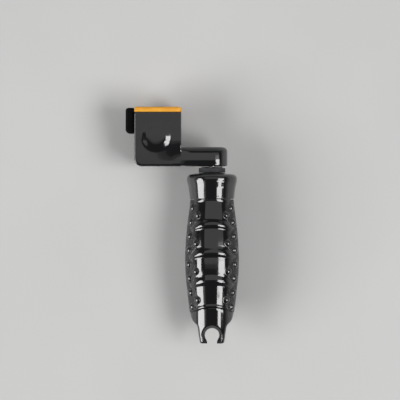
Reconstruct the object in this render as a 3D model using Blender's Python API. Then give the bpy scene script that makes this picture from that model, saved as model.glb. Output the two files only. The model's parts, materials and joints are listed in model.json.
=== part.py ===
"""String winder for guitars: a cranked, soft-lined head that spins freely in a bulged grip.

The winder lies on its back. Its spin axis runs along +Y, towards the mouth of the head, and
its front faces +Z. Meshes are written as (x, s, z): x and z are measured from the spin axis,
and the station s is measured along it from the tips of the bridge pin puller. Two empties on
the axis carry them, one for the grip and one for the crank that turns in it.
"""
import math

import bmesh
import bpy

MM = 0.001

# Overall size: length, and how far the bumper lies from the spin axis
TOTAL_LENGTH = 124.0 * MM
BUMPER_REACH = 45.3 * MM

# Facets
ROUND_SIDES = 32
SMALL_SIDES = 24
SCREW_SIDES = 12
SHELL_COLUMNS = 16
CORNER_STEPS = 3

# Fits between neighbouring pieces
RUNNING_GAP = 0.06 * MM
PARTING_GAP = 0.1 * MM
SEAT_GAP = 0.2 * MM

# Grip: stations of the steep underside of each raised lip, and the radius along the barrel
COLLAR_EDGE = 75.7 * MM
GRIP_TOP = 89.4 * MM
LIPS = (61.1 * MM, 46.2 * MM, 31.4 * MM)
NOSE_EDGE = 19.2 * MM
BARREL = (
    (9.0, 10.2), (18.0, 11.9), (27.0, 12.95), (35.0, 13.8), (42.0, 14.15),
    (49.0, 14.0), (57.0, 13.5), (65.0, 12.6), (74.0, 11.5), (80.0, 11.0),
)
LIP_HEIGHT = 0.66 * MM
GROOVE_DEPTH = 0.26 * MM
LIP_HALF_ANGLE = math.radians(60.0)
LIP_SAG = 3.2 * MM
WALL = 2.2 * MM
NUB_RADIUS = 2.0 * MM
NUB_HEIGHT = 1.1 * MM

# Pieces that the shells hold: spigot in the collar, neck bush, lower bush and puller
SPIGOT_RADIUS = 9.8 * MM
SPIGOT_TOP = 83.0 * MM
SPIGOT_BORE = 7.7 * MM
NECK_RIB = (78.3 * MM, 79.9 * MM, 3.75 * MM)
BUSH_RIB = (48.9 * MM, 51.1 * MM, 3.65 * MM)
PULLER_RIB = (22.0 * MM, 24.0 * MM, 7.75 * MM)
PLUG_RADIUS = 9.2 * MM
PLUG_TOP = 27.0 * MM

# Crank shaft and what runs on it
SHAFT_RADIUS = 2.0 * MM
SHAFT_BOTTOM = 44.6 * MM
SHAFT_TOP = 100.0 * MM
CLIP_GROOVE = (45.9 * MM, 46.6 * MM, 1.45 * MM)
NECK_RADIUS = 7.0 * MM
NECK_TOP = 92.0 * MM

# Crank arm and head
ARM_BOTTOM = 92.8 * MM
ARM_TOP = 103.0 * MM
BOSS_RADIUS = 8.1 * MM
ARM_HALF_DEPTH = 7.7 * MM
ARM_ROOT = 20.0 * MM
HEAD_OFFSET = 28.4 * MM
HEAD_WIDTH = 24.6 * MM
HEAD_DEPTH = 17.0 * MM
HEAD_TOP = 121.2 * MM
HEAD_WALL = 1.4 * MM
CAVITY_FLOOR = 97.2 * MM
DOME_RADIUS = 7.7 * MM
DOME_FLANK = 2.9 * MM
DOME_HEIGHT = 1.05 * MM
DOME_STATION = 108.3 * MM
DOME_SHIFT = 0.8 * MM
SOCKET_WIDTH = 19.0 * MM
SOCKET_DEPTH = 11.2 * MM
SOCKET_FLOOR = 99.5 * MM

# Bridge pin puller
NOSE_RADIUS = 12.0 * MM
KEYHOLE_STATION = 4.4 * MM
KEYHOLE_FRONT_RADIUS = 5.4 * MM
KEYHOLE_REAR_RADIUS = 3.75 * MM
SLOT_WIDTH = 5.2 * MM

# Shell screws, two beside the shaft and two below its end
SCREW_SPREAD = 5.9 * MM
SCREW_STATIONS = {"upper": 67.5 * MM, "lower": 38.0 * MM}
SCREW_SEAT = 4.5 * MM
SCREW_HEAD_RADIUS = 1.9 * MM
SCREW_RADIUS = 1.0 * MM
SCREW_TIP = 5.6 * MM

MATERIALS = {
    # name: (linear colour, roughness, metallic)
    "gloss_black": ((0.012, 0.012, 0.013), 0.12, 0.0),
    "amber_soft": ((0.72, 0.33, 0.035), 0.55, 0.0),
    "black_rubber": ((0.014, 0.014, 0.015), 0.6, 0.0),
    "bright_steel": ((0.62, 0.62, 0.63), 0.25, 1.0),
    "dark_nylon": ((0.035, 0.036, 0.038), 0.4, 0.0),
    "zinc_screw": ((0.50, 0.50, 0.52), 0.35, 1.0),
}


def clear_scene():
    """Remove every object that the new file came with."""
    for item in list(bpy.data.objects):
        bpy.data.objects.remove(item, do_unlink=True)


def make_material(name):
    """One plain Principled material."""
    colour, roughness, metallic = MATERIALS[name]
    material = bpy.data.materials.new(name)
    material.use_nodes = True
    shader = material.node_tree.nodes["Principled BSDF"]
    shader.inputs["Base Color"].default_value = (*colour, 1.0)
    shader.inputs["Roughness"].default_value = roughness
    shader.inputs["Metallic"].default_value = metallic
    return material


def make_axis(name):
    """An empty on the spin axis, placed so that the winder is centred and lies on z = 0."""
    half_width = max(radius for radius, _ in shell_outside(0.0))
    half_height = max(radius for radius, _ in shell_outside(math.pi / 2))
    axis = bpy.data.objects.new(name, None)
    axis.location = ((BUMPER_REACH - half_width) / 2, -TOTAL_LENGTH / 2, half_height)
    bpy.context.scene.collection.objects.link(axis)
    return axis


def make_piece(name, bm, material, axis):
    """Turn a bmesh into a named object that rides on an axis."""
    bmesh.ops.recalc_face_normals(bm, faces=bm.faces)
    mesh = bpy.data.meshes.new(name)
    bm.to_mesh(mesh)
    bm.free()
    mesh.shade_smooth()
    mesh.set_sharp_from_angle(angle=math.radians(30.0))
    piece = bpy.data.objects.new(name, mesh)
    piece.parent = axis
    if material:
        mesh.materials.append(material)
    bpy.context.scene.collection.objects.link(piece)
    return piece


def boolean(piece, tool, operation):
    """Join a tool to a piece, or cut it from the piece, and hide the tool."""
    modifier = piece.modifiers.new(tool.name, "BOOLEAN")
    modifier.operation = operation
    modifier.solver = "EXACT"
    modifier.object = tool
    tool.hide_render = True
    tool.display_type = "WIRE"


def skin(rings, closed=False):
    """Faces over a row of rings, which all have the same number of points."""
    bm = bmesh.new()
    rows = [[bm.verts.new(point) for point in ring] for ring in rings]
    pairs = list(zip(rows, rows[1:]))
    if closed:
        pairs.append((rows[-1], rows[0]))
    else:
        bm.faces.new(rows[0])
        bm.faces.new(rows[-1])
    for lower, upper in pairs:
        for here in range(len(lower)):
            after = (here + 1) % len(lower)
            bm.faces.new((lower[here], lower[after], upper[after], upper[here]))
    return bm


def spread(start, end, count):
    """Evenly spaced values from start to end, both included."""
    return [start + (end - start) * step / (count - 1) for step in range(count)]


def circle(radius, s, sides=ROUND_SIDES):
    """A ring round the spin axis at station s."""
    turns = [2 * math.pi * side / sides for side in range(sides)]
    return [(radius * math.cos(turn), s, radius * math.sin(turn)) for turn in turns]


def turned(profile, sides=ROUND_SIDES, closed=False):
    """A shape turned about the spin axis, from (radius, station) points."""
    return skin([circle(radius, s, sides) for radius, s in profile], closed)


def upright_circle(x, s, z, radius, sides=SCREW_SIDES):
    """A ring round a line that runs from front to back."""
    turns = [2 * math.pi * side / sides for side in range(sides)]
    return [(x + radius * math.cos(turn), s + radius * math.sin(turn), z) for turn in turns]


def rounded_rectangle(width, depth, radius, s, x=0.0):
    """A rounded rectangle across the spin axis at station s, centred on x."""
    ring = []
    corners = ((1, 1, 0.0), (-1, 1, 90.0), (-1, -1, 180.0), (1, -1, 270.0))
    for side_x, side_z, start in corners:
        for angle in spread(start, start + 90.0, CORNER_STEPS + 1):
            across = side_x * (width / 2 - radius) + radius * math.cos(math.radians(angle))
            along = side_z * (depth / 2 - radius) + radius * math.sin(math.radians(angle))
            ring.append((x + across, s, along))
    return ring


def box(x_range, s_range, z_range):
    """A plain box, used as a cutter."""
    corners = ((0, 0), (1, 0), (1, 1), (0, 1))
    return skin([[(x_range[i], s_range[j], z) for i, j in corners] for z in z_range])


def barrel_radius(s):
    """Radius of the barrel at a station: a smooth curve through the points of BARREL."""
    points = [(station * MM, radius * MM) for station, radius in BARREL]
    index = sum(1 for station, _ in points[1:-2] if s > station)
    before = points[max(index - 1, 0)]
    start, end = points[index], points[index + 1]
    after = points[min(index + 2, len(points) - 1)]
    span = end[0] - start[0]
    t = (s - start[0]) / span
    slope_in = (end[1] - before[1]) / (end[0] - before[0]) * span
    slope_out = (after[1] - start[1]) / (after[0] - start[0]) * span
    cubic = 2 * start[1] - 2 * end[1] + slope_in + slope_out
    square = 3 * end[1] - 3 * start[1] - 2 * slope_in - slope_out
    return ((cubic * t + square) * t + slope_in) * t + start[1]


def lip_strength(turn):
    """Lips and grooves are full at front centre and die out towards the sides."""
    from_front = abs(turn - math.pi / 2)
    return math.sqrt(max(0.0, 1.0 - (from_front / LIP_HALF_ANGLE) ** 2))


def sag(turn, s):
    """Lips are arched: they lie lower at the sides than at front centre."""
    fade = min(1.0, max(0.0, (COLLAR_EDGE - s) / (10.0 * MM)))
    return LIP_SAG * math.cos(turn) ** 2 * fade


def grip_rows():
    """Rows of the shells' outer surface: (station, share of groove, share of lip)."""
    top = COLLAR_EDGE - SEAT_GAP
    rows = [(top, 0.0, 0.0)]
    for lip in LIPS + (None,):
        rows.append((top - 0.9 * MM, 1.0, 0.0))
        rows.append((top - 2.5 * MM, 0.85, 0.0))
        rows.append((top - 5.0 * MM, 0.45, 0.0))
        if lip is None:
            rows.append((NOSE_EDGE + 3.0 * MM, 0.0, 0.0))
            rows.append((NOSE_EDGE, 0.0, 0.0))
            continue
        rows.append((lip + 5.0 * MM, 0.0, 0.0))
        rows.append((lip + 3.3 * MM, 0.0, 0.55))
        rows.append((lip + 2.0 * MM, 0.0, 1.0))
        rows.append((lip + 1.3 * MM, 0.0, 0.93))
        top = lip
    return rows


def shell_outside(turn):
    """One lengthwise line of a shell's outside, from the spigot down to the nose."""
    line = [(SPIGOT_RADIUS, SPIGOT_TOP), (SPIGOT_RADIUS, COLLAR_EDGE - SEAT_GAP)]
    for s, groove_share, lip_share in grip_rows():
        place = s - sag(turn, s)
        relief = lip_share * LIP_HEIGHT - groove_share * GROOVE_DEPTH
        line.append((barrel_radius(place) + relief * lip_strength(turn), place))
    return line


def shell_inside(turn):
    """One lengthwise line of a shell's inside, with the ribs that hold what is in it."""
    line = [(SPIGOT_BORE, SPIGOT_TOP)]
    line += [(SPIGOT_BORE, NECK_RIB[1]), (NECK_RIB[2], NECK_RIB[1])]
    line += [(NECK_RIB[2], NECK_RIB[0]), (SPIGOT_BORE, NECK_RIB[0])]
    line += [(SPIGOT_BORE, 75.0 * MM), (barrel_radius(72.0 * MM) - WALL, 72.0 * MM)]
    for s in (66.0 * MM, 58.0 * MM, BUSH_RIB[1]):
        line.append((barrel_radius(s) - WALL, s))
    line += [(BUSH_RIB[2], BUSH_RIB[1]), (BUSH_RIB[2], BUSH_RIB[0])]
    for s in (BUSH_RIB[0], 42.0 * MM, 34.0 * MM, 28.5 * MM):
        line.append((barrel_radius(s) - WALL, s))
    seat = PLUG_RADIUS + SEAT_GAP
    line += [(seat, 27.5 * MM), (seat, PULLER_RIB[1])]
    line += [(PULLER_RIB[2], PULLER_RIB[1]), (PULLER_RIB[2], PULLER_RIB[0])]
    line += [(seat, PULLER_RIB[0]), (seat, NOSE_EDGE - sag(turn, NOSE_EDGE))]
    return line


def half_shell(front):
    """One half of the grip: an outer and an inner sheet, closed along all four edges."""
    bm = bmesh.new()
    side = 1.0 if front else -1.0

    def sheet(line_of):
        columns = []
        for turn in spread(0.0, math.pi, SHELL_COLUMNS + 1):
            column = []
            for radius, s in line_of(turn):
                height = max(radius * math.sin(turn), PARTING_GAP)
                column.append(bm.verts.new((radius * math.cos(turn), s, side * height)))
            columns.append(column)
        for left, right in zip(columns, columns[1:]):
            for here in range(len(left) - 1):
                bm.faces.new((left[here], left[here + 1], right[here + 1], right[here]))
        return columns

    outer = sheet(shell_outside)
    inner = sheet(shell_inside)
    for edge in (0, -1):
        bm.faces.new(outer[edge] + inner[edge][::-1])
    for end in (0, -1):
        for here in range(SHELL_COLUMNS):
            after = here + 1
            bm.faces.new((outer[here][end], outer[after][end],
                          inner[after][end], inner[here][end]))
    return bm


def nub_places(front):
    """Angle round the axis and station of each small nub on one half of the grip.

    The rear half has none where the screws go in.
    """
    places = []
    tops = (COLLAR_EDGE,) + LIPS
    bottoms = LIPS + (NOSE_EDGE - 3.0 * MM,)
    for top, bottom in zip(tops, bottoms):
        middle = (top + bottom) / 2 - 0.9 * MM
        clear = min(abs(middle - station) for station in SCREW_STATIONS.values())
        for hand in (-1.0, 1.0):
            if front or clear > 5.0 * MM:
                places.append((90.0 + hand * 38.0, middle))
            places.append((90.0 + hand * 61.0, middle - 3.7 * MM))
            places.append((90.0 + hand * 61.0, middle + 3.7 * MM))
    return places


def nubs(front):
    """Low domes for one half of the grip, rooted in the middle of its wall."""
    bm = bmesh.new()
    side = 1.0 if front else -1.0
    steps = ((1.0, -WALL / 2), (1.0, 0.05 * NUB_HEIGHT), (0.75, 0.6 * NUB_HEIGHT),
             (0.35, NUB_HEIGHT))
    for angle, station in nub_places(front):
        turn = math.radians(angle)
        rows = []
        for share, height in steps:
            reach = barrel_radius(station) + height
            row = []
            for across, along, _ in upright_circle(0.0, 0.0, 0.0, NUB_RADIUS * share, 8):
                x = reach * math.cos(turn) - across * math.sin(turn)
                z = reach * math.sin(turn) + across * math.cos(turn)
                row.append(bm.verts.new((x, station + along, side * z)))
            rows.append(row)
        bm.faces.new(rows[0])
        bm.faces.new(rows[-1])
        for lower, upper in zip(rows, rows[1:]):
            for here in range(len(lower)):
                after = (here + 1) % len(lower)
                bm.faces.new((lower[here], lower[after], upper[after], upper[here]))
    return bm


def screw_place(level, hand):
    """Where a screw's line crosses the parting plane: (x, s)."""
    return (SCREW_SPREAD if hand == "right" else -SCREW_SPREAD), SCREW_STATIONS[level]


def screw_post(level, hand, radius, side):
    """A post from near the parting plane into the middle of the shell's wall."""
    x, s = screw_place(level, hand)
    foot = upright_circle(x, s, side * 0.4 * MM, radius)
    middle = barrel_radius(s) - WALL / 2
    head = [(px, ps, side * math.sqrt(middle ** 2 - px ** 2)) for px, ps, _ in foot]
    return skin([foot, head])


def make_shells(material, axis):
    """Front and rear shells with their screw posts, pilot holes and counterbores."""
    front = make_piece("front_grip_shell", half_shell(True), material, axis)
    rear = make_piece("rear_grip_shell", half_shell(False), material, axis)
    boolean(front, make_piece("cutter_front_nubs", nubs(True), None, axis), "UNION")
    boolean(rear, make_piece("cutter_rear_nubs", nubs(False), None, axis), "UNION")
    for level in SCREW_STATIONS:
        for hand in ("left", "right"):
            x, s = screw_place(level, hand)
            tag = f"{level}_{hand}"
            post = make_piece(f"cutter_post_{tag}", screw_post(level, hand, 2.0 * MM, 1.0),
                              None, axis)
            boolean(front, post, "UNION")
            pilot = skin([upright_circle(x, s, z, SCREW_RADIUS + 0.1 * MM)
                          for z in (-0.5 * MM, SCREW_TIP + 0.5 * MM)])
            boolean(front, make_piece(f"cutter_pilot_{tag}", pilot, None, axis), "DIFFERENCE")
            sleeve = make_piece(f"cutter_sleeve_{tag}", screw_post(level, hand, 3.2 * MM, -1.0),
                                None, axis)
            boolean(rear, sleeve, "UNION")
            steps = ((2.2 * MM, -20.0 * MM), (2.2 * MM, -SCREW_SEAT),
                     (1.3 * MM, -SCREW_SEAT), (1.3 * MM, 0.5 * MM))
            hole = skin([upright_circle(x, s, z, radius) for radius, z in steps])
            boolean(rear, make_piece(f"cutter_hole_{tag}", hole, None, axis), "DIFFERENCE")


def make_screws(material, axis):
    """Four self-tapping screws with crossed recesses, in from the back."""
    for level in SCREW_STATIONS:
        for hand in ("left", "right"):
            x, s = screw_place(level, hand)
            seat = -SCREW_SEAT - 0.1 * MM
            steps = ((1.2 * MM, seat - 1.5 * MM), (SCREW_HEAD_RADIUS, seat - 0.9 * MM),
                     (SCREW_HEAD_RADIUS, seat), (SCREW_RADIUS, seat),
                     (SCREW_RADIUS, SCREW_TIP - 1.2 * MM), (0.3 * MM, SCREW_TIP))
            name = f"shell_screw_{level}_{hand}"
            body = skin([upright_circle(x, s, z, radius) for radius, z in steps])
            screw = make_piece(name, body, material, axis)
            long, short = 1.0 * MM, 0.22 * MM
            depth = (seat - 2.0 * MM, seat - 0.7 * MM)
            for arm, (half_x, half_s) in enumerate(((long, short), (short, long))):
                slot = box((x - half_x, x + half_x), (s - half_s, s + half_s), depth)
                cutter = make_piece(f"cutter_{name}_{arm}", slot, None, axis)
                boolean(screw, cutter, "DIFFERENCE")


def make_collar(material, axis):
    """Bell-shaped collar that holds the tops of both shells together."""
    inside = SPIGOT_RADIUS + SEAT_GAP
    edge = COLLAR_EDGE / MM
    outline = ((11.25, edge), (11.65, edge + 0.15), (11.75, edge + 0.6), (12.0, 78.0),
               (12.35, 80.0), (12.7, 82.0), (12.9, 84.0), (13.05, 86.2), (12.75, 87.5),
               (12.3, 88.1), (11.8, 88.5), (11.1, 88.75), (10.4, 88.95), (8.2, 89.2),
               (6.2, 89.4))
    profile = [(inside, COLLAR_EDGE)] + [(radius * MM, s * MM) for radius, s in outline]
    profile += [(4.8 * MM, GRIP_TOP), (4.8 * MM, 87.3 * MM), (inside, 85.6 * MM)]
    make_piece("grip_collar", turned(profile, closed=True), material, axis)


def make_neck_bush(material, axis):
    """Flanged bush: its flange is the neck, and a rib of the shells holds its groove."""
    bore = SHAFT_RADIUS + RUNNING_GAP
    stem = 4.5 * MM
    foot = GRIP_TOP + SEAT_GAP
    rib_low, rib_high, rib_radius = NECK_RIB
    groove = rib_radius - 0.15 * MM
    profile = ((bore, 76.2 * MM), (stem, 76.2 * MM), (stem, rib_low - 0.2 * MM),
               (groove, rib_low - 0.2 * MM), (groove, rib_high + 0.2 * MM),
               (stem, rib_high + 0.2 * MM), (stem, foot), (NECK_RADIUS, foot),
               (NECK_RADIUS, NECK_TOP - 0.3 * MM), (NECK_RADIUS - 0.3 * MM, NECK_TOP),
               (bore, NECK_TOP))
    make_piece("neck_bush", turned(profile, SMALL_SIDES, closed=True), material, axis)


def make_lower_bush(material, axis):
    """Spool-shaped bush, held round its waist by a rib of the shells."""
    bore = SHAFT_RADIUS + RUNNING_GAP
    low, high, rib_radius = BUSH_RIB
    waist, flange = rib_radius - 0.15 * MM, 5.0 * MM
    reach, gap = 1.3 * MM, 0.2 * MM
    profile = ((bore, low - gap - reach), (flange, low - gap - reach), (flange, low - gap),
               (waist, low - gap), (waist, high + gap), (flange, high + gap),
               (flange, high + gap + reach), (bore, high + gap + reach))
    make_piece("lower_bush", turned(profile, SMALL_SIDES, closed=True), material, axis)


def make_washer(name, low, high, outer, material, axis):
    """A flat ring that turns with the shaft."""
    inner = SHAFT_RADIUS + 0.15 * MM
    profile = ((inner, low), (outer, low), (outer, high), (inner, high))
    make_piece(name, turned(profile, SMALL_SIDES, closed=True), material, axis)


def make_retaining_ring(material, axis):
    """Open ring that snaps into the groove near the end of the shaft."""
    low, high = CLIP_GROOVE[0] + 0.08 * MM, CLIP_GROOVE[1] - 0.08 * MM
    inner, outer = CLIP_GROOVE[2] + 0.1 * MM, 3.6 * MM
    turns = [math.radians(angle) for angle in spread(-145.0, 145.0, 17)]
    outline = [(outer * math.cos(turn), outer * math.sin(turn)) for turn in turns]
    outline += [(inner * math.cos(turn), inner * math.sin(turn)) for turn in turns[::-1]]
    rings = [[(x, s, z) for x, z in outline] for s in (low, high)]
    make_piece("retaining_ring", skin(rings), material, axis)


def make_shaft(material, axis):
    """Plain steel pin: fixed in the boss, turning in the bushes, with a clip groove."""
    chamfer = 0.4 * MM
    low, high, core = CLIP_GROOVE
    profile = ((SHAFT_RADIUS - chamfer, SHAFT_BOTTOM), (SHAFT_RADIUS, SHAFT_BOTTOM + chamfer),
               (SHAFT_RADIUS, low), (core, low), (core, high), (SHAFT_RADIUS, high),
               (SHAFT_RADIUS, SHAFT_TOP - chamfer), (SHAFT_RADIUS - chamfer, SHAFT_TOP))
    make_piece("crank_shaft", turned(profile, SMALL_SIDES), material, axis)


def head_housing():
    """Outside of the head: a rounded block with softer corners at its closed end."""
    corner_x, corner_z, rounding = 3.9 * MM, 1.8 * MM, 1.2 * MM
    rings = []
    for angle in spread(0.0, math.pi / 2, 5):
        inset = 1.0 - math.sin(angle)
        s = ARM_BOTTOM + corner_x * (1.0 - math.cos(angle))
        rings.append(rounded_rectangle(HEAD_WIDTH - 2 * corner_x * inset,
                                       HEAD_DEPTH - 2 * corner_z * inset,
                                       rounding, s, -HEAD_OFFSET))
    rings.append(rounded_rectangle(HEAD_WIDTH, HEAD_DEPTH, rounding, HEAD_TOP, -HEAD_OFFSET))
    return skin(rings)


def arm_outline(inset, s):
    """The arm seen along the spin axis: a round boss that tapers towards the head."""
    boss = BOSS_RADIUS - inset
    root = ARM_HALF_DEPTH - inset
    ring = []
    for angle in spread(-98.0, 98.0, 17):
        turn = math.radians(angle)
        ring.append((boss * math.cos(turn), s, boss * math.sin(turn)))
    ring += [(-ARM_ROOT, s, root), (-ARM_ROOT, s, -root)]
    return ring


def crank_arm():
    """The arm from the head to the boss, rounded along its upper and lower edges."""
    rings = []
    for round_off, level, way in ((1.0 * MM, ARM_BOTTOM, 1.0), (2.4 * MM, ARM_TOP, -1.0)):
        quarter = [(round_off * (1.0 - math.sin(angle)),
                    level + way * round_off * (1.0 - math.cos(angle)))
                   for angle in spread(0.0, math.pi / 2, 4)]
        rings += quarter if way > 0 else quarter[::-1]
    return skin([arm_outline(inset, s) for inset, s in rings])


def dome(side):
    """Shallow round swelling on a broad face of the head, flat on top."""
    face = HEAD_DEPTH / 2
    crown = DOME_RADIUS - DOME_FLANK
    steps = ((DOME_RADIUS, face - 0.9 * MM), (DOME_RADIUS, face + 0.02 * MM),
             (crown, face + 0.95 * DOME_HEIGHT), (crown - 0.8 * MM, face + DOME_HEIGHT))
    return skin([upright_circle(-HEAD_OFFSET - DOME_SHIFT, DOME_STATION, side * z, radius,
                                SMALL_SIDES) for radius, z in steps])


def make_crank_arm(material, axis):
    """Head housing, arm and boss in one moulding, with the head's cavity and shaft hole."""
    crank = make_piece("crank_arm", head_housing(), material, axis)
    boolean(crank, make_piece("cutter_arm", crank_arm(), None, axis), "UNION")
    for name, side in (("front", 1.0), ("rear", -1.0)):
        boolean(crank, make_piece(f"cutter_dome_{name}", dome(side), None, axis), "UNION")
    width, depth = HEAD_WIDTH - 2 * HEAD_WALL, HEAD_DEPTH - 2 * HEAD_WALL
    cavity = skin([rounded_rectangle(width, depth, 1.0 * MM, s, -HEAD_OFFSET)
                   for s in (CAVITY_FLOOR, HEAD_TOP + 1.0 * MM)])
    boolean(crank, make_piece("cutter_cavity", cavity, None, axis), "DIFFERENCE")
    bore = SHAFT_RADIUS + 0.05 * MM
    hole = turned(((bore, ARM_BOTTOM - 1.0 * MM), (bore, SHAFT_TOP + 0.3 * MM)), SMALL_SIDES)
    boolean(crank, make_piece("cutter_shaft_hole", hole, None, axis), "DIFFERENCE")


def make_head_liner(material, axis):
    """Soft cup in the head, with a lip that covers the rim of the housing."""
    outer_x = HEAD_WIDTH - 2 * HEAD_WALL - 2 * SEAT_GAP
    outer_z = HEAD_DEPTH - 2 * HEAD_WALL - 2 * SEAT_GAP
    lip_foot = HEAD_TOP + SEAT_GAP
    top = TOTAL_LENGTH
    steps = (
        (outer_x, outer_z, 1.0 * MM, CAVITY_FLOOR + SEAT_GAP),
        (outer_x, outer_z, 1.0 * MM, lip_foot),
        (HEAD_WIDTH, HEAD_DEPTH, 1.8 * MM, lip_foot),
        (HEAD_WIDTH, HEAD_DEPTH, 1.8 * MM, top - 1.3 * MM),
        (HEAD_WIDTH - 0.8 * MM, HEAD_DEPTH - 0.8 * MM, 1.7 * MM, top - 0.4 * MM),
        (HEAD_WIDTH - 2.2 * MM, HEAD_DEPTH - 2.2 * MM, 1.6 * MM, top),
        (SOCKET_WIDTH + 1.6 * MM, SOCKET_DEPTH + 1.6 * MM, 1.4 * MM, top),
        (SOCKET_WIDTH + 0.4 * MM, SOCKET_DEPTH + 0.4 * MM, 1.2 * MM, top - 1.2 * MM),
        (SOCKET_WIDTH, SOCKET_DEPTH, 1.2 * MM, SOCKET_FLOOR),
    )
    rings = [rounded_rectangle(width, depth, radius, s, -HEAD_OFFSET)
             for width, depth, radius, s in steps]
    make_piece("head_liner", skin(rings), material, axis)


def make_bumper(material, axis):
    """Soft tab bonded to the head's outer side, beside the mouth."""
    inner = -HEAD_OFFSET - HEAD_WIDTH / 2 - 0.15 * MM
    low, high, corner = 110.1 * MM, 123.5 * MM, 1.6 * MM
    rings = []
    for inset, z in ((1.0, -6.0), (0.3, -5.7), (0.0, -5.0), (0.0, 5.0), (0.3, 5.7), (1.0, 6.0)):
        outer = -BUMPER_REACH + inset * MM
        bottom, top = low + inset * MM, high - inset * MM
        ring = [(inner, top, z * MM), (inner, bottom, z * MM)]
        for centre, start in ((bottom + corner, 270.0), (top - corner, 180.0)):
            for angle in spread(start, start - 90.0, CORNER_STEPS + 1):
                turn = math.radians(angle)
                ring.append((outer + corner + corner * math.cos(turn),
                             centre + corner * math.sin(turn), z * MM))
        rings.append(ring)
    make_piece("headstock_bumper", skin(rings), material, axis)


def nose_ring(share, half_width, front, rear, flatness):
    """One ring of the nose, from its arched upper edge (share 0) to its tips (share 1)."""
    ring = []
    for is_front in (True, False):
        for turn in spread(0.0, math.pi, SHELL_COLUMNS + 1):
            turn = turn if is_front else math.pi - turn
            x = half_width * math.cos(turn)
            edge = NOSE_EDGE - 0.25 * MM - sag(turn, NOSE_EDGE)
            drop = NOSE_RADIUS - math.sqrt(max(0.0, NOSE_RADIUS ** 2 - x ** 2))
            if is_front:
                z = max(front - drop, rear + 0.3 * MM, 0.15 * MM)
            else:
                z = min(rear + drop * (1.0 - flatness), front - drop - 0.3 * MM)
                z = min(z, -0.15 * MM) if flatness < 1.0 else z
            ring.append((x, edge * (1.0 - share), z))
    return ring


def plug_ring(radius, s=None):
    """One ring of the plug above the nose; without a station it follows the arched edge."""
    ring = []
    for is_front in (1.0, -1.0):
        for turn in spread(0.0, math.pi, SHELL_COLUMNS + 1):
            turn = turn if is_front > 0 else math.pi - turn
            edge = NOSE_EDGE - 0.25 * MM - sag(turn, NOSE_EDGE)
            height = max(radius * math.sin(turn), 0.15 * MM)
            ring.append((radius * math.cos(turn), edge if s is None else s, is_front * height))
    return ring


def make_puller(material, axis):
    """Forked nose: a plug held by the shells, a wedge below it, and the keyhole."""
    steps = (
        # share of the way down, half width, front, rear, flatness of the rear (mm)
        (1.00, 5.3, 7.7, 2.4, 1.0),
        (0.97, 6.0, 7.9, 2.2, 1.0),
        (0.88, 6.6, 8.4, 1.9, 1.0),
        (0.65, 7.3, 9.3, 1.2, 1.0),
        (0.52, 7.9, 9.8, 0.5, 1.0),
        (0.43, 9.4, 10.2, -2.5, 0.6),
        (0.33, 10.6, 10.6, -6.5, 0.3),
        (0.18, 11.4, 11.3, -10.2, 0.1),
        (0.04, 11.95, 11.85, -11.7, 0.0),
        (0.00, 11.7, 11.6, -11.6, 0.0),
    )
    rings = [nose_ring(share, width * MM, front * MM, rear * MM, flatness)
             for share, width, front, rear, flatness in steps]
    low, high, rib_radius = PULLER_RIB
    groove = rib_radius - 0.2 * MM
    rings.append(plug_ring(PLUG_RADIUS))
    for radius, s in ((PLUG_RADIUS, low - 0.2 * MM), (groove, low - 0.2 * MM),
                      (groove, high + 0.2 * MM), (PLUG_RADIUS, high + 0.2 * MM),
                      (PLUG_RADIUS, PLUG_TOP - 0.6 * MM), (PLUG_RADIUS - 0.6 * MM, PLUG_TOP)):
        rings.append(plug_ring(radius, s))
    puller = make_piece("bridge_pin_puller", skin(rings), material, axis)
    steps = ((KEYHOLE_REAR_RADIUS, -20.0 * MM), (KEYHOLE_REAR_RADIUS, 5.9 * MM),
             (KEYHOLE_FRONT_RADIUS - 0.1 * MM, 7.9 * MM), (KEYHOLE_FRONT_RADIUS, 12.0 * MM))
    hole = skin([upright_circle(0.0, KEYHOLE_STATION, z, radius, SMALL_SIDES)
                 for radius, z in steps])
    boolean(puller, make_piece("cutter_keyhole", hole, None, axis), "DIFFERENCE")
    half = SLOT_WIDTH / 2
    slot = box((-half, half), (-2.0 * MM, KEYHOLE_STATION), (-20.0 * MM, 15.0 * MM))
    boolean(puller, make_piece("cutter_slot", slot, None, axis), "DIFFERENCE")


def main():
    """Build the winder."""
    clear_scene()
    materials = {name: make_material(name) for name in MATERIALS}
    grip_axis = make_axis("grip_axis")
    crank_axis = make_axis("crank_axis")
    make_shells(materials["gloss_black"], grip_axis)
    make_screws(materials["zinc_screw"], grip_axis)
    make_collar(materials["gloss_black"], grip_axis)
    make_neck_bush(materials["dark_nylon"], grip_axis)
    make_lower_bush(materials["dark_nylon"], grip_axis)
    make_puller(materials["gloss_black"], grip_axis)
    make_crank_arm(materials["gloss_black"], crank_axis)
    make_head_liner(materials["amber_soft"], crank_axis)
    make_bumper(materials["black_rubber"], crank_axis)
    make_shaft(materials["bright_steel"], crank_axis)
    make_washer("upper_thrust_washer", NECK_TOP + 0.15 * MM, ARM_BOTTOM - 0.15 * MM,
                5.6 * MM, materials["dark_nylon"], crank_axis)
    make_washer("lower_thrust_washer", 46.75 * MM, 47.25 * MM,
                3.9 * MM, materials["bright_steel"], crank_axis)
    make_retaining_ring(materials["bright_steel"], crank_axis)


main()
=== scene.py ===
"""Looks of the string winder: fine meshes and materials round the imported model.

Shapes are worked out in millimetres as (x, s, z): x and z are measured from the spin axis,
with z towards the winder's front, and the station s runs along the axis from the tips of the
puller to the mouth of the head.
"""
import json
import math

import bmesh
import bpy
import numpy as np
from mathutils import Matrix, Vector


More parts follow.
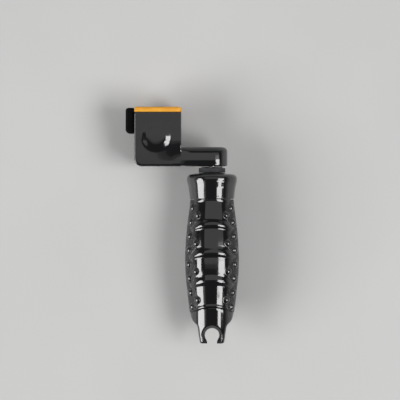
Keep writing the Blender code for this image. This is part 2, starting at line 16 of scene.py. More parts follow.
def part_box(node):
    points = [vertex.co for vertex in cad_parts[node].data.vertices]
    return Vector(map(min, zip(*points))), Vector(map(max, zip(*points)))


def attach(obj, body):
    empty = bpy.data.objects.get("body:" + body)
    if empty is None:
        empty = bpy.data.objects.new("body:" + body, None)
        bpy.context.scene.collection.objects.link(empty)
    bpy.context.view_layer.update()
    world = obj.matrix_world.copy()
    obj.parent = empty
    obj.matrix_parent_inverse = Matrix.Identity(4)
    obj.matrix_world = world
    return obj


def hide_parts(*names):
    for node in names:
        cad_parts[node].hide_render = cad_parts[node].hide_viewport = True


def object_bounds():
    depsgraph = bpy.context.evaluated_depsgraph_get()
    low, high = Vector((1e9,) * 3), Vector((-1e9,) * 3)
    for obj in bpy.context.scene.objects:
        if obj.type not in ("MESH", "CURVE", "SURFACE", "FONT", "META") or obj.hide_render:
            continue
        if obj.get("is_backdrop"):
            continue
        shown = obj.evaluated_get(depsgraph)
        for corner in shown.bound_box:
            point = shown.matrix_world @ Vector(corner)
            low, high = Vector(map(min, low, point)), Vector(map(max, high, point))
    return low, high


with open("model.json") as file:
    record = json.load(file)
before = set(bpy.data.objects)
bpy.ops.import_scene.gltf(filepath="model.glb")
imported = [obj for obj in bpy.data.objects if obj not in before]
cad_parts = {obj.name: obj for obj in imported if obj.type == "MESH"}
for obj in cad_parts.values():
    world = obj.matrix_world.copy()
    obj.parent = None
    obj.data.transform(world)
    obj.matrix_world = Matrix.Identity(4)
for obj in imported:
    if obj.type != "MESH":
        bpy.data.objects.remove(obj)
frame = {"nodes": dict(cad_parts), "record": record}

MM = 0.001
CAD_LOW, CAD_HIGH = (list(corner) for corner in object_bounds())
AXIS = frame["record"]["behaviour"]["joints"][0]["pos_m"]
ORIGIN = np.array([AXIS[0], CAD_LOW[1], AXIS[2]])

# Head and crank arm
HEAD_OFFSET = 28.4
HEAD_HALF_WIDTH = 12.3
HEAD_HALF_DEPTH = 8.5
HEAD_BOTTOM = 92.8
HEAD_TOP = 121.2
HEAD_CORNER = 3.9
HEAD_DIP = 0.66
CAVITY_HALF_WIDTH = 10.9
CAVITY_HALF_DEPTH = 7.1
CAVITY_BOTTOM = 97.2
LINER_GAP = 0.15
LIP_TOP = 124.0
ARM_TOP = 103.0
ARM_LENGTH = 20.0
ARM_HALF_DEPTH = 8.0
BOSS_RADIUS = 8.1
BORE_RADIUS = 2.05
BORE_TOP = 100.3
BULGE_SHIFT = 0.8
BULGE_STATION = 108.3
BULGE_RADIUS = 7.7
BULGE_FLANK = 2.9
BULGE_SLOPE = 0.375

# Grip
COLLAR_EDGE = 75.7
NOSE_EDGE = 19.2
WALL = 2.2
LIP_STATIONS = (61.1, 46.2, 31.4)
BARREL = ((9.0, 10.2), (18.0, 11.9), (27.0, 12.95), (35.0, 13.8), (42.0, 14.15),
          (49.0, 14.0), (57.0, 13.5), (65.0, 12.6), (74.0, 11.5), (80.0, 11.0))
# Height of a lip's profile against distance above the middle of its steep underside
LIP_PROFILE = ((-9.5, 0.0), (-8.5, -0.02), (-5.0, -0.13), (-2.5, -0.22), (-1.3, -0.26),
               (-0.85, -0.26), (-0.45, -0.18), (-0.1, 0.0), (0.25, 0.23), (0.55, 0.41),
               (0.85, 0.53), (1.25, 0.60), (1.65, 0.63), (2.05, 0.62), (2.6, 0.54),
               (3.3, 0.36), (3.9, 0.19), (4.5, 0.06), (5.2, 0.0), (6.0, 0.0))
LIP_SAG = 3.2
LIP_HALF_ANGLE = 60.0
NUB_RADIUS = 2.05
NUB_HEIGHT = 1.15
NUB_CURVE = (NUB_RADIUS ** 2 + NUB_HEIGHT ** 2) / (2 * NUB_HEIGHT)
INNER_NUB_ANGLE = 38.0
OUTER_NUB_ANGLE = 61.0
OUTER_NUB_STEP = 3.7
PANEL_BOTTOM = NOSE_EDGE - 3.0
SCREW_STATIONS = (67.5, 38.0)
SCREW_SEAT = -4.5
COUNTERBORE = ((2.2, -18.0), (2.2, SCREW_SEAT), (1.3, SCREW_SEAT), (1.3, 0.5))

NOSE_RADIUS = 12.0
PLUG_RADIUS = 9.2
SEAT_RADIUS = 9.4
KEYHOLE_STATION = 4.4
SLOT_HALF_WIDTH = 2.6

# Radiance of the bright and the dim lights
SOFTBOX = 9.0
PANEL = 0.55


# ---------------------------------------------------------------- shapes from distance fields

def round_max(a, b, radius):
    """Common part of two solids, with the edge between them rounded."""
    outside = np.hypot(np.maximum(a + radius, 0.0), np.maximum(b + radius, 0.0))
    return np.minimum(-radius, np.maximum(a, b)) + outside


def round_min(a, b, radius):
    """Union of two solids, with a fillet in the corner between them."""
    inside = np.hypot(np.maximum(radius - a, 0.0), np.maximum(radius - b, 0.0))
    return np.maximum(radius, np.minimum(a, b)) - inside


def rectangle(u, v, half_u, half_v, radius):
    """Distance to a rounded rectangle."""
    qu, qv = np.abs(u) - half_u + radius, np.abs(v) - half_v + radius
    outside = np.hypot(np.maximum(qu, 0.0), np.maximum(qv, 0.0))
    return outside + np.minimum(np.maximum(qu, qv), 0.0) - radius


def smooth_curve(points, x):
    """A smooth curve through the points, with slopes taken from their neighbours."""
    px, py = np.array(points).T
    slope = np.gradient(py, px)
    index = np.clip(np.searchsorted(px, x) - 1, 0, len(px) - 2)
    span = px[index + 1] - px[index]
    t = np.clip((x - px[index]) / span, 0.0, 1.0)
    start, end = py[index], py[index + 1]
    m0, m1 = slope[index] * span, slope[index + 1] * span
    square, cube = t * t, t * t * t
    return ((2 * cube - 3 * square + 1) * start + (cube - 2 * square + t) * m0
            + (3 * square - 2 * cube) * end + (cube - square) * m1)


def crossing_points(values, low, cell):
    """Cells that the surface passes through, and the mean of its crossings of their edges."""
    inside = values < 0.0
    counts = np.array(values.shape) - 1
    corners = [(i, j, k) for i in (0, 1) for j in (0, 1) for k in (0, 1)]
    total = np.zeros(counts, dtype=int)
    for i, j, k in corners:
        total += inside[i:counts[0] + i, j:counts[1] + j, k:counts[2] + k]
    cells = np.argwhere((total > 0) & (total < 8))
    place = np.zeros((len(cells), 3))
    hits = np.zeros(len(cells))
    for corner in corners:
        for axis in range(3):
            if corner[axis]:
                continue
            step = np.eye(3, dtype=int)[axis]
            start = values[tuple((cells + corner).T)]
            end = values[tuple((cells + corner + step).T)]
            crosses = (start < 0.0) != (end < 0.0)
            share = np.where(crosses, start / np.where(crosses, start - end, 1.0), 0.0)
            point = cells + corner + share[:, None] * step
            place += point * crosses[:, None]
            hits += crosses
    return cells, low + cell * place / hits[:, None]


def net_faces(values, cells):
    """One quad for each grid edge that the surface crosses."""
    inside = values < 0.0
    index = -np.ones(np.array(values.shape) - 1, dtype=int)
    index[tuple(cells.T)] = np.arange(len(cells))
    faces = []
    for axis in range(3):
        u, v = (axis + 1) % 3, (axis + 2) % 3
        step = np.eye(3, dtype=int)
        low = [slice(1, -1)] * 3
        low[axis] = slice(0, -1)
        high = list(low)
        high[axis] = slice(1, None)
        start, end = inside[tuple(low)], inside[tuple(high)]
        edges = np.argwhere(start != end)
        leaving = start[tuple(edges.T)]
        edges = edges + 1 - step[axis]
        ring = [edges - step[u] - step[v], edges - step[v], edges, edges - step[u]]
        quad = np.stack([index[tuple(corner.T)] for corner in ring], axis=1)
        faces.append(np.where(leaving[:, None], quad, quad[:, ::-1]))
    return np.concatenate(faces)


def settle(field, points, reach, rounds=4):
    """Move points straight onto the surface of the field."""
    nudge = 0.01
    for _ in range(rounds):
        here = field(*points.T)
        slope = np.stack([
            (field(*(points + nudge * axis).T) - field(*(points - nudge * axis).T)) / (2 * nudge)
            for axis in np.eye(3)], axis=1)
        steep = np.maximum((slope ** 2).sum(axis=1), 0.05)
        move = -here[:, None] * slope / steep[:, None]
        length = np.linalg.norm(move, axis=1, keepdims=True)
        points = points + move * np.minimum(1.0, reach / np.maximum(length, 1e-9))
    return points


def solid_of(name, field, low, high, cell):
    """Mesh of the surface where the field is zero."""
    low = np.array(low, dtype=float)
    counts = np.ceil((np.array(high) - low) / cell).astype(int) + 1
    axes = [low[axis] + cell * np.arange(counts[axis]) for axis in range(3)]
    values = field(*np.meshgrid(*axes, indexing="ij"))
    cells, points = crossing_points(values, low, cell)
    faces = net_faces(values, cells)
    return piece_of(name, settle(field, points, cell / 2), faces)


# ---------------------------------------------------------------- meshes and pieces

def piece_of(name, points, faces, sharp=40.0):
    """A named object from points in millimetres, with its faces turned outwards."""
    mesh = bpy.data.meshes.new(name)
    world = ORIGIN + np.asarray(points) * MM
    faces = faces.tolist() if hasattr(faces, "tolist") else faces
    mesh.from_pydata(world.tolist(), [], faces)
    bm = bmesh.new()
    bm.from_mesh(mesh)
    bmesh.ops.recalc_face_normals(bm, faces=bm.faces)
    bm.to_mesh(mesh)
    bm.free()
    mesh.shade_smooth()
    if sharp:
        mesh.set_sharp_from_angle(angle=math.radians(sharp))
    piece = bpy.data.objects.new(name, mesh)
    bpy.context.scene.collection.objects.link(piece)
    return piece


def rings_of(name, rings, closed=False, sharp=40.0):
    """A piece skinned over rings with the same number of points."""
    rings = np.array(rings, dtype=float)
    rows, sides = rings.shape[:2]
    index = np.arange(rows * sides).reshape(rows, sides)
    upper = np.roll(index, -1, axis=0) if closed else index[1:]
    lower = index if closed else index[:-1]
    faces = np.stack([lower, np.roll(lower, -1, axis=1), np.roll(upper, -1, axis=1), upper],
                     axis=-1).reshape(-1, 4).tolist()
    if not closed:
        faces += [index[0].tolist(), index[-1].tolist()]
    return piece_of(name, rings.reshape(-1, 3), faces, sharp)


def turned(name, profile, sides=96, closed=False, sharp=40.0):
    """A piece turned about the spin axis from (radius, station) points."""
    turn = np.linspace(0.0, 2 * math.pi, sides, endpoint=False)
    rings = [np.stack([radius * np.cos(turn), np.full(sides, s), radius * np.sin(turn)], axis=1)
             for radius, s in profile]
    return rings_of(name, rings, closed, sharp)


def corner_arc(centre, radius, start, end, steps=6):
    """Points on an arc in the (radius, station) plane, angles in degrees."""
    return [(centre[0] + radius * math.cos(math.radians(angle)),
             centre[1] + radius * math.sin(math.radians(angle)))
            for angle in np.linspace(start, end, steps + 1)]


def cut(piece, tool):
    """Cut a closed tool out of a closed piece and remove the tool."""
    modifier = piece.modifiers.new("cut", "BOOLEAN")
    modifier.operation = "DIFFERENCE"
    modifier.solver = "MANIFOLD"
    modifier.object = tool
    depsgraph = bpy.context.evaluated_depsgraph_get()
    mesh = bpy.data.meshes.new_from_object(piece.evaluated_get(depsgraph))
    piece.modifiers.clear()
    piece.data = mesh
    bpy.data.objects.remove(tool, do_unlink=True)


def upright_rings(x, s, steps, sides):
    """Rings round a line from back to front at (x, s), from (radius, z) points."""
    turn = np.linspace(0.0, 2 * math.pi, sides, endpoint=False)
    return [np.stack([x + radius * np.cos(turn), s + radius * np.sin(turn),
                      np.full(sides, z)], axis=1) for radius, z in steps]


def finish_piece(piece, material, body, slot_name, *nodes):
    """Give a piece its material and its body, and hide the CAD nodes that it stands for. slot_name
    is not used.
    """
    piece.data.materials.clear()
    piece.data.materials.append(material)
    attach(piece, body)
    if nodes:
        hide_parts(*nodes)
    return piece


# ---------------------------------------------------------------- crank and head

def bend(x, width):
    """Zero well below zero and x well above it, with a smooth bend between."""
    return 0.5 * (x + np.hypot(x, width))


def blend(x, start, end):
    """Smooth step from 0 at the start to 1 at the end."""
    t = np.clip((x - start) / (end - start), 0.0, 1.0)
    return t * t * (3.0 - 2.0 * t)


def bulge_height(x, s):
    """Height of the round, flat-topped swelling on the head's faces, lower towards the mouth."""
    along = s - BULGE_STATION
    inward = BULGE_RADIUS - np.hypot(x + BULGE_SHIFT, along)
    slope = BULGE_SLOPE * (1.0 - 0.8 * blend(along, 0.05 * BULGE_RADIUS, 1.25 * BULGE_RADIUS))
    return slope * (bend(inward, 0.2) - bend(inward - BULGE_FLANK, 0.6))


def tapered_bar(x, z, large, small, length):
    """Distance to a bar with round ends, seen along the spin axis."""
    across, along = np.abs(z), -x
    taper = (large - small) / length
    lean = math.sqrt(1.0 - taper ** 2)
    side = -taper * across + lean * along
    ends = np.where(side < 0.0, np.hypot(across, along) - large,
                    np.hypot(across, along - length) - small)
    between = (side >= 0.0) & (side <= lean * length)
    return np.where(between, across * lean + along * taper - large, ends)


def crank_field(x, s, z):
    """Head housing, arm and boss as one moulding.

    The head's faces dip towards the arm. The arm's underside rises a little towards the head,
    and its front and rear lean back above and below their middle.
    """
    hx = x + HEAD_OFFSET
    outline = round_max(-hx - HEAD_HALF_WIDTH, HEAD_BOTTOM - s, HEAD_CORNER)
    dip = HEAD_DIP * blend(hx, -3.0, HEAD_HALF_WIDTH) * blend(s, 106.5, 95.5)
    faces = np.abs(z) - HEAD_HALF_DEPTH - bulge_height(hx, s) + dip
    head = round_max(outline, faces, 0.8)
    head = round_max(head, hx - HEAD_HALF_WIDTH, 0.35)
    head = round_max(head, s - HEAD_TOP, 0.3)
    rise = 0.3 * np.clip((-x - 9.0) / 7.0, 0.0, 1.0) ** 2
    lean = 0.34 * bend(s - 99.4, 0.4) + 0.15 * bend(96.0 - s, 0.35) + 0.05 * (s - 96.0)
    lean = lean * blend(x, -17.5, -11.0)
    arm = tapered_bar(x, z * (1.0 + lean / BOSS_RADIUS), BOSS_RADIUS, ARM_HALF_DEPTH, ARM_LENGTH)
    arm = round_max(arm, HEAD_BOTTOM + rise - s, 0.8)
    arm = round_max(arm, s - ARM_TOP, 2.4)
    solid = round_min(head, arm, 0.1 + 1.2 * blend(s, 101.0, 103.0))
    cavity = rectangle(hx, z, CAVITY_HALF_WIDTH, CAVITY_HALF_DEPTH, 1.0)
    cavity = round_max(cavity, CAVITY_BOTTOM - s, 0.5)
    solid = round_max(solid, -cavity, 0.25)
    bore = np.maximum(np.hypot(x, z) - BORE_RADIUS, s - BORE_TOP)
    return np.maximum(solid, -bore)


def liner_field(x, s, z):
    """Soft cup with a lip over the housing's rim and low ribs down its walls."""
    hx = x + HEAD_OFFSET
    lip = round_max(rectangle(hx, z, HEAD_HALF_WIDTH, HEAD_HALF_DEPTH, 1.7), s - LIP_TOP, 1.2)
    lip = round_max(lip, HEAD_TOP + LINER_GAP - s, 0.25)
    stem = rectangle(hx, z, CAVITY_HALF_WIDTH - LINER_GAP, CAVITY_HALF_DEPTH - LINER_GAP, 1.0)
    stem = np.maximum(np.maximum(stem, 97.4 - s), s - 122.5)
    socket = np.maximum(rectangle(hx, z, 9.5, 5.6, 1.2), 99.5 - s)
    for place in (-6.3, -2.1, 2.1, 6.3):
        rib = np.hypot(hx - place, np.abs(z) - 5.75) - 0.75
        socket = np.maximum(socket, -np.maximum(rib, s - 120.5))
    return round_max(np.minimum(lip, stem), -socket, 0.9)


def bumper_field(x, s, z):
    """Soft tab beside the mouth, rounded on its outer corners."""
    outer = -(x + 45.3)
    tab = round_max(outer, s - 123.5, 1.7)
    tab = round_max(tab, 110.1 - s, 2.2)
    tab = round_max(tab, np.abs(z) - 6.0, 1.2)
    return round_max(tab, x + 40.85, 0.2)


# ---------------------------------------------------------------- grip

def sag(turn, s):
    """Lips are arched: they lie lower at the sides than at front centre."""
    fade = np.clip((COLLAR_EDGE - s) / 10.0, 0.0, 1.0)
    return LIP_SAG * np.cos(turn) ** 2 * fade


def lip_relief(turn, s):
    """Height of lips and grooves, which die out towards the sides in round ends."""
    from_front = np.abs(np.degrees(turn) - 90.0)
    strength = np.sqrt(np.clip(1.0 - (from_front / LIP_HALF_ANGLE) ** 2, 0.0, 1.0))
    height = np.zeros(np.broadcast(turn, s).shape)
    for station in LIP_STATIONS:
        height = height + smooth_curve(LIP_PROFILE, (s - station) / (0.5 + 0.5 * strength))
    arch = s - COLLAR_EDGE + 0.1 + 1.7 * np.cos(turn) ** 2
    height = height + smooth_curve(LIP_PROFILE, np.minimum(arch, -0.25))
    height = height + 0.3 * blend(s, NOSE_EDGE + 1.9, NOSE_EDGE + 0.5)
    return height * strength


def nub_places(is_front):
    """Angle and station of each small nub on one half of the grip; none where screws go in."""
    places = []
    tops = (COLLAR_EDGE,) + LIP_STATIONS
    for top, bottom in zip(tops, LIP_STATIONS + (PANEL_BOTTOM,)):
        middle = (top + bottom) / 2 - 0.9
        clear = min(abs(middle - station) for station in SCREW_STATIONS)
        for side in (-1.0, 1.0):
            if is_front or clear > 5.0:
                places.append((90.0 + side * INNER_NUB_ANGLE, middle))
            for step in (-OUTER_NUB_STEP, OUTER_NUB_STEP):
                places.append((90.0 + side * OUTER_NUB_ANGLE, middle + step))
    return places


def nub_relief(turn, place, is_front):
    """Height of the small nubs beside the lips."""
    height = np.zeros(np.broadcast(turn, place).shape)
    for angle, station in nub_places(is_front):
        radius = smooth_curve(BARREL, np.array(station))
        across = (turn - math.radians(angle)) * radius
        reach = np.minimum(np.hypot(across, place - station), NUB_RADIUS)
        dome = np.sqrt(NUB_CURVE ** 2 - reach ** 2) - NUB_CURVE + NUB_HEIGHT
        height = np.maximum(height, dome)
    return height


def texture_share(turn, place, is_front):
    """How far a point lies in the satin, wedge-shaped areas beside the lips: 0 to 1."""
    from_front = np.abs(np.degrees(turn) - 90.0)
    share = np.zeros(np.broadcast(turn, place).shape)
    tops = (COLLAR_EDGE,) + LIP_STATIONS
    for top, bottom in zip(tops, LIP_STATIONS + (PANEL_BOTTOM,)):
        middle, half = (top + bottom) / 2 - 0.9, (top - bottom) / 2
        limit = 32.0 + 27.0 * np.clip(np.abs(place - middle) / half, 0.0, 1.2) ** 1.4
        inside = np.clip((from_front - limit) / 2.0 + 0.5, 0.0, 1.0)
        share = np.maximum(share, np.where((place < top) & (place >= bottom), inside, 0.0))
    return np.where(nub_relief(turn, place, is_front) > 0.02, 0.0, share)


def shell_radius(turn, s, is_front):
    """Radius of the grip's surface at an angle and at a station of the front line."""
    place = s - sag(turn, s)
    radius = smooth_curve(BARREL, place) + lip_relief(turn, s)
    radius = radius + nub_relief(turn, place, is_front)
    from_seam = np.minimum(turn, math.pi - turn) * radius
    edge = np.clip(1.0 - from_seam / 0.35, 0.0, 1.0) ** 2 * 0.16
    end = np.clip(1.0 - (s - NOSE_EDGE) / 0.3, 0.0, 1.0) ** 2 * 0.12
    return radius - edge - end, place


def shell_inside():
    """Inside of a shell, with the ribs that hold the bushes and the puller."""
    def wall_line(stations):
        return [(float(smooth_curve(BARREL, np.array(s))) - WALL, s) for s in stations]

    line = [(7.7, 83.0), (7.7, 79.9), (3.75, 79.9), (3.75, 78.3), (7.7, 78.3), (7.7, 75.0)]
    line += wall_line((72.0, 66.0, 58.0, 51.1))
    line += [(3.65, 51.1), (3.65, 48.9)]
    line += wall_line((48.9, 42.0, 34.0, 28.5))
    return line + [(SEAT_RADIUS, 27.5), (SEAT_RADIUS, 24.0), (7.75, 24.0), (7.75, 22.0),
                   (SEAT_RADIUS, 22.0)]


def shell_sheets(is_front, turn, rows):
    """Radius and station of a shell's outer and inner sheets, and the relief's stations."""
    s = np.linspace(COLLAR_EDGE - 0.2, NOSE_EDGE, rows + 1)
    radius, place = shell_radius(turn[:, None], s[None, :], is_front)
    columns = len(turn)
    spigot_r, spigot_s = np.full((columns, 2), 9.8), np.tile((83.0, 75.5), (columns, 1))
    outer = (np.concatenate([spigot_r, radius], axis=1), np.concatenate([spigot_s, place], axis=1))
    inner_r, inner_s = (np.tile(line, (columns, 1)) for line in np.array(shell_inside()).T)
    inner = (np.concatenate([inner_r, np.full((columns, 1), SEAT_RADIUS)], axis=1),
             np.concatenate([inner_s, place[:, -1:]], axis=1))
    return outer, inner, place


def shell_faces(outer, inner):
    """Faces of both sheets and of the strips that join them; the sheets hold point numbers."""
    faces = []
    for sheet in (outer, inner):
        quads = np.stack([sheet[:-1, :-1], sheet[:-1, 1:], sheet[1:, 1:], sheet[1:, :-1]], axis=-1)
        faces += quads.reshape(-1, 4).tolist()
    for edge in (0, -1):
        faces.append(outer[edge].tolist() + inner[edge][::-1].tolist())
    for end in (0, -1):
        strip = np.stack([outer[:-1, end], outer[1:, end], inner[1:, end], inner[:-1, end]], axis=1)
        faces += strip.tolist()
    return faces


def make_shell(name, is_front, columns, rows):
    """One half of the grip, closed along its parting faces and at both ends."""
    turn = np.linspace(0.0, math.pi, columns + 1)
    outer, inner, place = shell_sheets(is_front, turn, rows)
    side = 1.0 if is_front else -1.0
    points, sheets, start = [], [], 0
    for sheet_r, sheet_s in (outer, inner):
        height = np.maximum(sheet_r * np.sin(turn)[:, None], 0.05)
        grid = np.stack([sheet_r * np.cos(turn)[:, None], sheet_s, side * height], axis=-1)
        sheets.append(start + np.arange(sheet_r.size).reshape(sheet_r.shape))
        start += sheet_r.size
        points.append(grid.reshape(-1, 3))
    shell = piece_of(name, np.concatenate(points), shell_faces(*sheets), 50.0)
    share = np.zeros(len(shell.data.vertices))
    share[sheets[0][:, 2:].ravel()] = texture_share(turn[:, None], place, is_front).ravel()
    satin = shell.data.attributes.new("satin", "FLOAT", "POINT")
    satin.data.foreach_set("value", share)
    return shell


def nose_half_width(s):
    """Half the nose's width, pinched in above the prongs."""
    return smooth_curve(((-1.0, 6.2), (0.0, 6.3), (1.6, 6.55), (4.5, 6.95), (6.8, 7.3),
                         (8.4, 7.55), (9.6, 8.0), (11.0, 9.3), (12.6, 10.5), (14.5, 11.1),
                         (16.5, 11.55), (19.0, 11.95), (21.0, 12.1)), s)


def puller_field(x, s, z):
    """Forked nose with its keyhole, and the plug that the shells hold.

    The nose is a cylinder whose front slopes down to the prongs and whose rear is scooped out.
    The keyhole's rim is a cone, which is steeper on the prongs.
    """
    turn = np.arctan2(np.abs(z), x)
    drop = NOSE_RADIUS - np.sqrt(np.maximum(NOSE_RADIUS ** 2 - x ** 2, 0.02))
    front = smooth_curve(((-1.0, 7.12), (0.0, 7.42), (3.0, 8.3), (6.0, 9.11), (9.0, 9.85),
                          (14.0, 11.0), (19.0, 11.95), (21.0, 12.1)), s)
    rear = smooth_curve(((-1.0, 2.6), (0.0, 2.4), (4.0, 1.8), (7.5, 1.0), (9.5, -0.4),
                         (11.5, -4.0), (13.5, -8.2), (16.0, -10.9), (19.0, -11.95),
                         (21.0, -12.1)), s)
    flat = np.clip((16.0 - s) / 8.0, 0.0, 1.0)
    nose = round_max(z - front + drop, rear + drop * (1.0 - flat) - z, 0.5)
    nose = round_max(nose, np.abs(x) - nose_half_width(s), 0.9)
    nose = round_max(nose, -s, 1.0)
    edge = NOSE_EDGE - 0.15 - LIP_SAG * np.cos(turn) ** 2
    nose = round_max(nose, s - edge, 0.35)
    plug = np.hypot(x, z) - PLUG_RADIUS + 1.7 * ((s > 21.8) & (s < 24.2))
    plug = np.maximum(np.maximum(plug, s - 27.0), 15.5 - s)
    body = np.minimum(nose, plug)
    depth = (front - drop - z) * (1.0 - 0.3 * blend(np.abs(x), 1.5, 4.5))
    rim = smooth_curve(((-2.0, 7.35), (-0.4, 5.75), (0.0, 5.35), (0.4, 4.95), (1.35, 4.0),
                        (1.8, 3.78), (2.4, 3.75), (5.0, 3.75)), depth)
    dish = np.hypot(x, s - KEYHOLE_STATION) - rim
    slot = np.maximum(np.abs(x) - SLOT_HALF_WIDTH, s - KEYHOLE_STATION)
    return round_max(body, -round_min(dish, slot, 0.5), 0.2)


def make_collar():
    """Bell-shaped collar, polished, with a rounded lower edge."""
    edge = COLLAR_EDGE
    profile = [(10.0, edge + 0.2), (10.2, edge)]
    profile += corner_arc((11.2, edge + 0.5), 0.5, -90.0, 0.0)
    bell = ((76.2, 11.72), (78.0, 11.9), (80.0, 12.14), (81.8, 12.4), (83.4, 12.77),
            (84.9, 13.11), (85.8, 13.21), (86.3, 13.23))
    profile += [(float(smooth_curve(bell, np.array(s))), s)
                for s in np.linspace(76.4, 86.1, 34)]
    profile += corner_arc((10.78, 86.35), 2.45, 0.0, 78.0, 14)
    profile += [(10.4, 88.93), (9.4, 89.08), (8.2, 89.2), (7.0, 89.33), (6.3, 89.4)]
    profile += [(4.8, 89.4), (4.8, 87.3), (10.0, 85.6)]
    return turned("collar", profile, 144, closed=True, sharp=35.0)


def make_neck():
    """Neck of the grip: flange and stem of the upper bearing bush."""
    profile = [(2.06, 76.2), (4.5, 76.2), (4.5, 78.1), (3.6, 78.1), (3.6, 80.1), (4.5, 80.1),
               (4.5, 89.6), (6.8, 89.6)]
    profile += corner_arc((6.8, 89.8), 0.2, -90.0, 0.0, 3)
    profile += [(7.0, 90.6), (6.9, 90.7), (6.9, 90.8), (7.0, 90.9)]
    profile += corner_arc((6.7, 91.7), 0.3, 0.0, 90.0, 4)
    profile += [(2.3, 92.0), (2.06, 91.8)]
    return turned("neck", profile, 96, closed=True, sharp=35.0)


def make_screw(name, x, s):
    """Self-tapping screw: pan head, crossed recess, ridged shank and a point."""
    seat = SCREW_SEAT - 0.1
    head = [(0.9, seat - 1.5), (1.35, seat - 1.42), (1.68, seat - 1.2), (1.86, seat - 0.85),
            (1.9, seat - 0.5), (1.9, seat), (0.8, seat)]
    root, crest, pitch = 0.72, 1.0, 0.8
    ridges = []
    for turn in range(11):
        level = seat + 0.9 + pitch * turn
        ridges += [(root, level), (crest, level + 0.3), (crest, level + 0.36),
                   (root, level + 0.66)]
    steps = head + ridges + [(0.5, 5.1), (0.12, 5.6)]
    screw = rings_of(name, upright_rings(x, s, steps, 32))
    arm, half_width, taper = 1.05, 0.24, 0.75
    corners = ((-1, -1), (1, -1), (1, 1), (-1, 1))
    for half_x, half_s in ((arm, half_width), (half_width, arm)):
        rings = [[(x + i * half_x * scale, s + j * half_s * scale, z) for i, j in corners]
                 for scale, z in ((1.0, seat - 2.0), (taper, seat - 0.55))]
        cut(screw, rings_of("recess", rings))
    return screw


# ---------------------------------------------------------------- materials

def new_material(name, colour, roughness, metallic=0.0, specular=0.5, coat=0.0):
    """A Principled material and the handles needed to add detail to it."""
    material = bpy.data.materials.new(name)
    material.use_nodes = True
    tree = material.node_tree
    shader = tree.nodes["Principled BSDF"]
    shader.inputs["Base Color"].default_value = (*colour, 1.0)
    shader.inputs["Roughness"].default_value = roughness
    shader.inputs["Metallic"].default_value = metallic
    shader.inputs["Specular IOR Level"].default_value = specular
    shader.inputs["Coat Weight"].default_value = coat
    shader.inputs["Coat Roughness"].default_value = 0.05
    return material, tree, shader


def noise(tree, scale, detail=3.0, roughness=0.5, stretch=None):
    """Noise in object space; scale is in features per metre."""
    place = tree.nodes.new("ShaderNodeTexCoord")
    source = place.outputs["Object"]
    if stretch:
        mapping = tree.nodes.new("ShaderNodeMapping")
        mapping.inputs["Scale"].default_value = stretch
        tree.links.new(source, mapping.inputs["Vector"])
        source = mapping.outputs["Vector"]
    texture = tree.nodes.new("ShaderNodeTexNoise")
    texture.inputs["Scale"].default_value = scale
    texture.inputs["Detail"].default_value = detail
    texture.inputs["Roughness"].default_value = roughness
    tree.links.new(source, texture.inputs["Vector"])
    return texture.outputs["Fac"]


def remap(tree, source, low, high, start=0.3, end=0.7):
    """Stretch a value from one range to another."""
    node = tree.nodes.new("ShaderNodeMapRange")
    node.inputs["From Min"].default_value = start
    node.inputs["From Max"].default_value = end
    node.inputs["To Min"].default_value = low
    node.inputs["To Max"].default_value = high
    tree.links.new(source, node.inputs["Value"])
    return node.outputs["Result"]


def combine(tree, operation, first, second):
    """Sum or product of two values."""
    node = tree.nodes.new("ShaderNodeMath")
    node.operation = operation
    tree.links.new(first, node.inputs[0])
    tree.links.new(second, node.inputs[1])
    return node.outputs["Value"]


def colour_between(tree, source, first, second, shader):
    """Base colour that varies between two colours."""
    node = tree.nodes.new("ShaderNodeMix")
    node.data_type = "RGBA"
    node.inputs[6].default_value = (*first, 1.0)
    node.inputs[7].default_value = (*second, 1.0)
    tree.links.new(source, node.inputs["Factor"])
    tree.links.new(node.outputs[2], shader.inputs["Base Color"])


def bump(tree, source, shader, strength, distance, before=None):
    """Bump from a value, on top of an earlier bump if there is one."""
    node = tree.nodes.new("ShaderNodeBump")
    node.inputs["Strength"].default_value = strength
    node.inputs["Distance"].default_value = distance
    tree.links.new(source, node.inputs["Height"])
    if before:
        tree.links.new(before, node.inputs["Normal"])
    tree.links.new(node.outputs["Normal"], shader.inputs["Normal"])
    return node.outputs["Normal"]


def gloss_black():
    """Polished black moulding: faint smudges in the gloss and a slight moulded ripple."""
    material, tree, shader = new_material("gloss black plastic", (0.006, 0.0062, 0.0068), 0.1,
                                          coat=0.8)
    satin = tree.nodes.new("ShaderNodeAttribute")
    satin.attribute_name = "satin"
    satin = satin.outputs["Fac"]
    colour_between(tree, remap(tree, satin, 0.0, 1.0, 0.0, 1.0),
                   (0.006, 0.0062, 0.0068), (0.008, 0.0082, 0.009), shader)
    smudge = remap(tree, noise(tree, 160.0, 5.0, 0.6), 0.08, 0.15)
    rough = combine(tree, "ADD", smudge, remap(tree, satin, 0.0, 0.16, 0.0, 1.0))
    tree.links.new(rough, shader.inputs["Roughness"])
    tree.links.new(remap(tree, satin, 0.8, 0.0, 0.0, 1.0), shader.inputs["Coat Weight"])
    grain = combine(tree, "MULTIPLY", noise(tree, 1300.0, 3.0), satin)
    ripple = bump(tree, noise(tree, 260.0, 1.0), shader, 0.12, 0.00006)
    bump(tree, grain, shader, 0.8, 0.0005, ripple)
    return material


def amber_soft():
    """Translucent-looking amber elastomer with a fine satin grain."""
    material, tree, shader = new_material("amber soft elastomer", (0.72, 0.33, 0.03), 0.5)
    colour_between(tree, remap(tree, noise(tree, 220.0, 4.0), 0.0, 1.0),
                   (0.70, 0.305, 0.016), (0.79, 0.38, 0.03), shader)
    tree.links.new(remap(tree, noise(tree, 900.0), 0.42, 0.6), shader.inputs["Roughness"])
    shader.inputs["Subsurface Weight"].default_value = 0.25
    shader.inputs["Subsurface Radius"].default_value = (1.0, 0.5, 0.12)
    shader.inputs["Subsurface Scale"].default_value = 0.0012
    bump(tree, noise(tree, 3800.0, 3.0), shader, 0.25, 0.00003)
    return material


